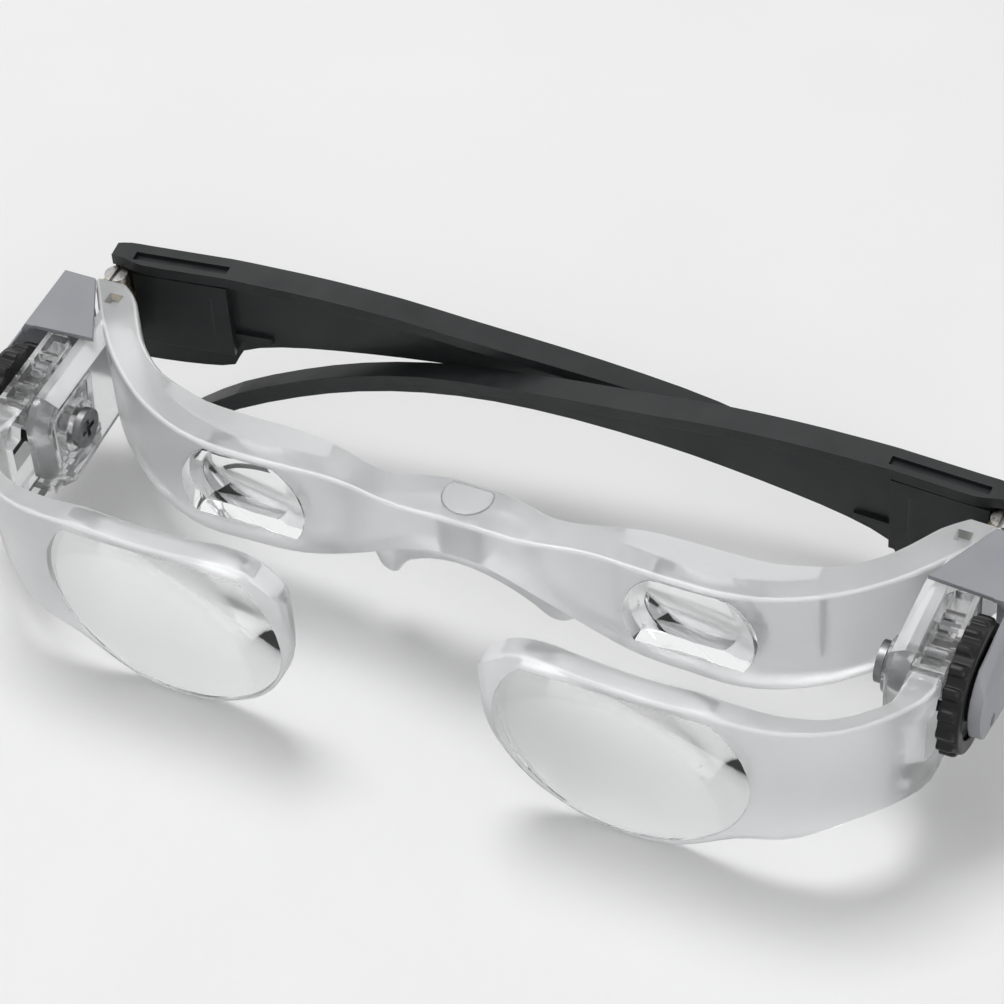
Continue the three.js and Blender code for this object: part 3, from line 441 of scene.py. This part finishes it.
def welded_copy(node_name: str) -> bpy.types.Object:
    """A copy of a CAD node whose loose triangles are welded and whose flat faces are joined.

    Args:
        node_name: The CAD node.

    Returns:
        The copy, active and selected, without materials.
    """
    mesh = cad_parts[node_name].data.copy()
    mesh.materials.clear()
    piece = bpy.data.objects.new(node_name + "_dressed", mesh)
    bpy.context.scene.collection.objects.link(piece)
    choose(piece)
    if mesh.has_custom_normals:
        bpy.ops.mesh.customdata_custom_splitnormals_clear()
    bpy.ops.object.mode_set(mode="EDIT")
    bpy.ops.mesh.select_all(action="SELECT")
    bpy.ops.mesh.remove_doubles(threshold=WELD_GAP)
    bpy.ops.mesh.dissolve_limited(angle_limit=FLAT_ANGLE)
    bpy.ops.object.mode_set(mode="OBJECT")
    return piece


@dataclass
class Assembly:
    """A group of pieces on one side, or in the middle."""

    wardrobe: Wardrobe
    side: Side | None = None

    def name(self, stem: str) -> str:
        """A node's or a body's name on this side."""
        return self.side.named(stem) if self.side else stem

    def report(self, piece: bpy.types.Object) -> None:
        """Logs a finished piece."""
        LOG.info("%s: %d faces", piece.name, len(piece.data.polygons))

    def mould(self, stem: str, body: str, finish: Finish, edge: SoftEdge | Tumbled) -> bpy.types.Object:
        """Dresses a copy of one CAD node, which then stands for the node.

        Args:
            stem: The node's name without its side.
            body: The body that it rides on.
            finish: Its finish.
            edge: Its edges.

        Returns:
            The piece.
        """
        piece = welded_copy(self.name(stem))
        self.wardrobe.dress(piece, finish)
        edge.apply(piece)
        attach(piece, body)
        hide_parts(self.name(stem))
        self.report(piece)
        return piece

    def polish_ends(self, piece: bpy.types.Object, start: float, front: float, back: float) -> None:
        """Gives the faces at the sides of a frosted piece the clearer finish of the polished walls.

        Args:
            piece: The piece.
            start: How far from the middle the walls start, in metres.
            front: Where the walls start along Y.
            back: Where they end along Y.
        """
        polished, _ = self.wardrobe.pair(CLEAR_WALL)
        piece.data.materials.append(polished)
        for face in piece.data.polygons:
            if abs(face.center.x) > start and front < face.center.y < back:
                face.material_index = len(piece.data.materials) - 1


@dataclass
class Lens(Assembly):
    """A lens between two spherical faces, cut flat above and, where its CAD node is, below.

    With a curved_radius, the spherical part reaches only so far, lies higher by curved_lift, and has a flat
    margin round it. A lens whose node reaches down to within uncut of its round edge isn't cut below.
    """

    stem: str = ""
    body: str = "frame"
    radius: float = 0.0
    edge_front: float = 0.0
    edge_back: float = 0.0
    front_sag: float = 0.0
    back_sag: float = 0.0
    sectors: int = 96
    rings: int = 14
    axis_height: float = 0.0
    curved_radius: float = 0.0
    curved_lift: float = 0.0
    uncut: float = 0.1 * MM
    edge: SoftEdge = SoftEdge(smooth_angle=30.0, least_lean=90.0, most_lean=90.0)

    def cap(self, rim_at: float, sag: float, centre: Vector) -> bpy.types.Object:
        """One face: a spherical cap, with a flat margin where the cap is narrower than the lens.

        Args:
            rim_at: The rim's place along Y.
            sag: How far the middle stands back from the rim along Y.
            centre: The point where the lens's axis meets the plane y = 0.

        Returns:
            The face, open at its rim.
        """
        curved = self.curved_radius or self.radius
        ball = (curved**2 + sag**2) / (2 * abs(sag))
        half_angle = math.asin(curved / ball)
        middle = Vector((centre.x, rim_at + sag - math.copysign(ball, sag), centre.z + self.curved_lift))
        bpy.ops.object.select_all(action="DESELECT")
        bpy.ops.mesh.primitive_uv_sphere_add(
            segments=self.sectors,
            ring_count=round(self.rings * math.pi / half_angle),
            radius=ball,
            location=middle,
            rotation=(QUARTER_TURN, 0.0, 0.0),
        )
        face = bpy.context.object
        bpy.ops.object.transform_apply(location=True, rotation=True, scale=True)
        bpy.ops.object.mode_set(mode="EDIT")
        bpy.ops.mesh.select_all(action="SELECT")
        bpy.ops.mesh.bisect(
            plane_co=(0.0, rim_at, 0.0), plane_no=(0.0, math.copysign(1.0, sag), 0.0), clear_inner=True
        )
        if self.curved_radius:
            wider = self.radius / self.curved_radius
            bpy.ops.mesh.select_all(action="DESELECT")
            bpy.ops.mesh.select_mode(type="EDGE")
            bpy.ops.mesh.select_non_manifold()
            bpy.ops.mesh.extrude_edges_move()
            bpy.ops.transform.resize(
                value=(wider, 1.0, wider), center_override=(centre.x, rim_at, centre.z + self.curved_lift)
            )
            bpy.ops.transform.translate(value=(0.0, 0.0, -self.curved_lift))
        bpy.ops.object.mode_set(mode="OBJECT")
        return face

    def cut_flat(self, height: float, upwards: int) -> None:
        """Cuts the lens off level at a height, and closes the cut.

        Args:
            height: Where it is cut.
            upwards: +1 to take what is above, -1 to take what is below.
        """
        bpy.ops.mesh.select_all(action="SELECT")
        bpy.ops.mesh.bisect(
            plane_co=(0.0, 0.0, height), plane_no=(0.0, 0.0, upwards), clear_outer=True, use_fill=True
        )

    def build(self) -> None:
        """The whole lens, which then stands for its CAD node."""
        low, high = (Vector(corner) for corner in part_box(self.name(self.stem)))
        centre = Vector(((low.x + high.x) / 2, 0.0, self.axis_height))
        front = self.cap(self.edge_front, -self.front_sag, centre)
        back = self.cap(self.edge_back, self.back_sag, centre)
        choose(front)
        back.select_set(True)
        bpy.ops.object.join()
        piece = bpy.context.object
        piece.name = self.name(self.stem) + "_dressed"
        bpy.ops.object.mode_set(mode="EDIT")
        bpy.ops.mesh.select_all(action="DESELECT")
        bpy.ops.mesh.select_mode(type="VERT")
        bpy.ops.mesh.select_non_manifold()
        bpy.ops.mesh.bridge_edge_loops()
        self.cut_flat(high.z, 1)
        if low.z > centre.z - self.radius + self.uncut:
            self.cut_flat(low.z, -1)
        bpy.ops.mesh.select_all(action="SELECT")
        bpy.ops.mesh.remove_doubles(threshold=LENS_WELD_GAP)
        bpy.ops.mesh.normals_make_consistent(inside=False)
        bpy.ops.object.mode_set(mode="OBJECT")
        self.wardrobe.dress(piece, POLISHED)
        self.edge.apply(piece)
        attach(piece, self.body)
        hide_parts(self.name(self.stem))
        self.report(piece)


# The glasses


@dataclass
class FrontFrame(Assembly):
    """The frosted rear frame with its side walls, and the soft saddle under its bridge."""

    moulded: SoftEdge = SoftEdge()
    channel_end: float = 46.0 * MM
    channel_reach: float = 1.5 * MM
    least_facing: float = 0.7
    wall_start: float = 57.0 * MM
    wall_front: float = -12.0 * MM
    wall_back: float = 8.0 * MM

    def whiten_channel_ends(self, piece: bpy.types.Object) -> None:
        """Gives the end walls of the two rear channels the whiter material of the edges.

        Args:
            piece: The frame's dressed copy.
        """
        for face in piece.data.polygons:
            near = abs(abs(face.center.x) - self.channel_end) < self.channel_reach
            if near and abs(face.normal.x) > self.least_facing:
                face.material_index = 1

    def build(self) -> None:
        """The frame and its saddle."""
        shell = self.mould("rear_frame", "frame", FROST, self.moulded)
        self.whiten_channel_ends(shell)
        self.polish_ends(shell, self.wall_start, self.wall_front, self.wall_back)
        self.mould("nose_saddle", "frame", SOFT, self.moulded)


@dataclass
class Eyepiece(Assembly):
    """The negative lens in the rear frame."""

    radius: float = 8.9 * MM
    half_depth: float = 1.9 * MM
    centre_thickness: float = 1.3 * MM
    curved_radius: float = 7.4 * MM
    curved_lift: float = 1.4 * MM

    def build(self) -> None:
        """The lens, hollow on both faces."""
        hollow = self.centre_thickness / 2 - self.half_depth
        Lens(
            self.wardrobe,
            self.side,
            stem="eyepiece_lens",
            radius=self.radius,
            edge_front=-self.half_depth,
            edge_back=self.half_depth,
            front_sag=hollow,
            back_sag=hollow,
            curved_radius=self.curved_radius,
            curved_lift=self.curved_lift,
        ).build()


@dataclass
class Objective(Assembly):
    """The frosted arm that slides in the side wall, and the large positive lens that it carries."""

    radius: float = 16.75 * MM
    edge_front: float = -22.9 * MM
    edge_back: float = -21.6 * MM
    front_sag: float = 3.1 * MM
    back_sag: float = 1.1 * MM
    axis_height: float = 1.0 * MM
    moulded: SoftEdge = SoftEdge()
    block_start: float = 61.0 * MM
    block_front: float = -5.0 * MM
    block_back: float = 12.0 * MM

    def build(self) -> None:
        """The arm and its lens."""
        body = self.name("objective_slide")
        arm = self.mould("objective_arm", body, FROST, self.moulded)
        self.polish_ends(arm, self.block_start, self.block_front, self.block_back)
        Lens(
            self.wardrobe,
            self.side,
            stem="objective_lens",
            body=body,
            radius=self.radius,
            edge_front=self.edge_front,
            edge_back=self.edge_back,
            front_sag=self.front_sag,
            back_sag=self.back_sag,
            axis_height=self.axis_height,
        ).build()


@dataclass
class FocusDrive(Assembly):
    """The ribbed wheel with its pinion, the screw that it turns on, and the grey cover over them."""

    ribs: Tumbled = Tumbled(0.14 * MM)
    shell: SoftEdge = SoftEdge(opens_along=(1.0, 0.0, 0.0))

    def build(self) -> None:
        """The wheel, its screw and its cover."""
        self.mould("focus_wheel", self.name("wheel"), GRIP, self.ribs)
        self.mould("wheel_axle_screw", "frame", DARK_STEEL, self.shell)
        self.mould("side_cover", "frame", COVER, self.shell)


@dataclass
class FoldingTemple(Assembly):
    """The dark temple with its leaf, and the frame's leaf and pin that it folds on.

    The slot in the temple's top is widened: its two long walls move forwards by the two shifts. A corner
    belongs to a wall when it is within slack of it, and to the floor when it is within level_slack of
    slot_floor.
    """

    edge: SoftEdge = SoftEdge(smooth_angle=40.0)
    slot_floor: float = 8.3 * MM
    slot_outer_shift: float = 0.4 * MM
    slot_inner_shift: float = 0.95 * MM
    slack: float = 0.06 * MM
    level_slack: float = 0.006 * MM
    least_upright: float = 0.99

    def slot_corners(self, piece: bpy.types.Object) -> list[Vector]:
        """The corners of the slot's floor.

        Args:
            piece: The temple's dressed copy.

        Returns:
            The corners, from -X to +X.
        """
        mesh = piece.data
        level = {
            vertex.index for vertex in mesh.vertices if abs(vertex.co.z - self.slot_floor) < self.level_slack
        }
        floor = next(
            face
            for face in mesh.polygons
            if face.normal.z > self.least_upright and level.issuperset(face.vertices)
        )
        corners = (mesh.vertices[place].co.copy() for place in floor.vertices)
        return sorted(corners, key=lambda corner: corner.x)

    def move_wall(self, piece: bpy.types.Object, start: Vector, end: Vector, shift: float) -> None:
        """Moves one long wall of the slot forwards.

        Args:
            piece: The temple's dressed copy.
            start: One lower corner of the wall.
            end: The other lower corner.
            shift: How far it moves, in metres.
        """
        choose(piece)
        bpy.ops.object.mode_set(mode="EDIT")
        bpy.ops.mesh.select_mode(type="VERT")
        bpy.ops.mesh.select_all(action="DESELECT")
        bpy.ops.object.mode_set(mode="OBJECT")
        along = (end - start).normalized()
        for vertex in piece.data.vertices:
            reach = vertex.co - start
            beside = (reach - along * reach.dot(along)).xy.length
            vertex.select = beside < self.slack and vertex.co.z > self.slot_floor - self.slack
        bpy.ops.object.mode_set(mode="EDIT")
        bpy.ops.transform.translate(value=(0.0, -shift, 0.0))
        bpy.ops.object.mode_set(mode="OBJECT")

    def widen_slot(self, piece: bpy.types.Object) -> None:
        """Widens the slot in the temple's top towards the frame.

        Args:
            piece: The temple's dressed copy.
        """
        corners = self.slot_corners(piece)
        ends = (corners[:2], corners[2:])
        inner = [min(pair, key=lambda corner: corner.y) for pair in ends]
        outer = [max(pair, key=lambda corner: corner.y) for pair in ends]
        self.move_wall(piece, *inner, self.slot_inner_shift)
        self.move_wall(piece, *outer, self.slot_outer_shift)

    def build(self) -> None:
        """The temple and its hinge."""
        body = self.name("temple_arm")
        self.widen_slot(self.mould("temple", body, CHARCOAL, self.edge))
        self.mould("temple_hinge", body, BRASS, self.edge)
        self.mould("frame_hinge", "frame", BRASS, self.edge)
        self.mould("hinge_screw", "frame", STEEL, self.edge)


# The studio


@dataclass(frozen=True)
class Lamp:
    """A square soft lamp that faces the glasses. Its place and its size are in metres."""

    name: str
    place: Place
    size: float
    watts: float

    def build(self) -> None:
        """Adds the lamp."""
        data = bpy.data.lights.new(self.name, "AREA")
        data.shape = "SQUARE"
        data.size = self.size
        data.energy = self.watts
        lamp = bpy.data.objects.new(self.name, data)
        lamp.location = self.place
        lamp.rotation_euler = Vector(self.place).to_track_quat("Z", "Y").to_euler()
        bpy.context.scene.collection.objects.link(lamp)


@dataclass
class Studio:
    """The pale floor under the resting glasses, the soft lamps and the camera at the photograph's angle.

    The camera's three angles are in degrees, and the world's two strengths are what is seen and what lights.
    """

    azimuth: float = 27.62
    elevation: float = 46.43
    roll: float = -4.68
    focal_pixels: float = 3590.0
    frame_pixels: float = 1004.0
    sensor: float = 36.0
    eye: Place = (150.06 * MM, -275.84 * MM, 338.99 * MM)
    nearest: float = 0.01
    farthest: float = 50.0
    floor_size: float = 6.0
    seen_white: float = 0.9
    soft_light: float = 0.5
    lamps: tuple[Lamp, ...] = (
        Lamp("key", (-0.25, 0.2, 0.95), 0.45, 5.2),
        Lamp("fill", (0.6, -0.6, 0.6), 0.6, 2.4),
    )

    def camera(self) -> None:
        """Adds the camera."""
        turn, lift, tilt = (math.radians(angle) for angle in (self.azimuth, self.elevation, self.roll))
        back = Vector((math.sin(turn) * math.cos(lift), -math.cos(turn) * math.cos(lift), math.sin(lift)))
        level = Vector((math.cos(turn), math.sin(turn), 0.0))
        upright = back.cross(level)
        right = level * math.cos(tilt) + upright * math.sin(tilt)
        up = upright * math.cos(tilt) - level * math.sin(tilt)
        data = bpy.data.cameras.new("camera")
        data.sensor_width = self.sensor
        data.lens = self.sensor * self.focal_pixels / self.frame_pixels
        data.clip_start = self.nearest
        data.clip_end = self.farthest
        data.dof.use_dof = False
        camera = bpy.data.objects.new("camera", data)
        rotation = Matrix((right, up, back)).transposed().to_4x4()
        camera.matrix_world = Matrix.Translation(Vector(self.eye)) @ rotation
        bpy.context.scene.collection.objects.link(camera)
        bpy.context.scene.camera = camera

    def floor(self) -> None:
        """Adds the floor, tilted because the glasses rest on their two arms and on the inner temple's tip."""
        front, rear = (
            min((corner.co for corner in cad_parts[name].data.vertices), key=lambda place: place.z)
            for name in (Side.LEFT.named("objective_arm"), Side.LEFT.named("temple"))
        )
        slope = math.atan2(rear.z - front.z, rear.y - front.y)
        bpy.ops.object.select_all(action="DESELECT")
        bpy.ops.mesh.primitive_plane_add(
            size=self.floor_size, location=(0.0, front.y, front.z), rotation=(slope, 0.0, 0.0)
        )
        floor = bpy.context.object
        floor.name = "floor"
        floor.data.materials.append(PAPER.faces())

    def world(self) -> None:
        """Adds a white world: bright to the eye, in gloss and through glass, and weaker as light."""
        world = bpy.data.worlds.new("studio")
        world.use_nodes = True
        tree = world.node_tree
        tree.nodes.clear()
        path = add_node(tree, "ShaderNodeLightPath")
        seen = path.outputs["Is Camera Ray"]
        for kind in ("Is Glossy Ray", "Is Transmission Ray"):
            either = add_node(tree, "ShaderNodeMath")
            either.operation = "MAXIMUM"
            link(tree, seen, either.inputs[0])
            link(tree, path.outputs[kind], either.inputs[1])
            seen = either.outputs["Value"]
        strength = add_node(tree, "ShaderNodeMapRange", To_Min=self.soft_light, To_Max=self.seen_white)
        link(tree, seen, strength.inputs["Value"])
        background = add_node(tree, "ShaderNodeBackground", Color=(1.0, 1.0, 1.0, 1.0))
        link(tree, strength.outputs["Result"], background.inputs["Strength"])
        output = add_node(tree, "ShaderNodeOutputWorld")
        link(tree, background.outputs["Background"], output.inputs["Surface"])
        bpy.context.scene.world = world

    def build(self) -> None:
        """The whole studio."""
        self.camera()
        self.floor()
        self.world()
        for lamp in self.lamps:
            lamp.build()
        bpy.context.scene.view_settings.view_transform = "Standard"
        LOG.info("studio ready")


def main() -> None:
    """Builds the studio and the glasses."""
    logging.basicConfig(level=logging.INFO, format="%(name)s: %(message)s")
    Studio().build()
    wardrobe = Wardrobe()
    FrontFrame(wardrobe).build()
    for side in Side:
        for group in (Eyepiece, Objective, FocusDrive, FoldingTemple):
            group(wardrobe, side).build()


if __name__ == "__main__":
    main()
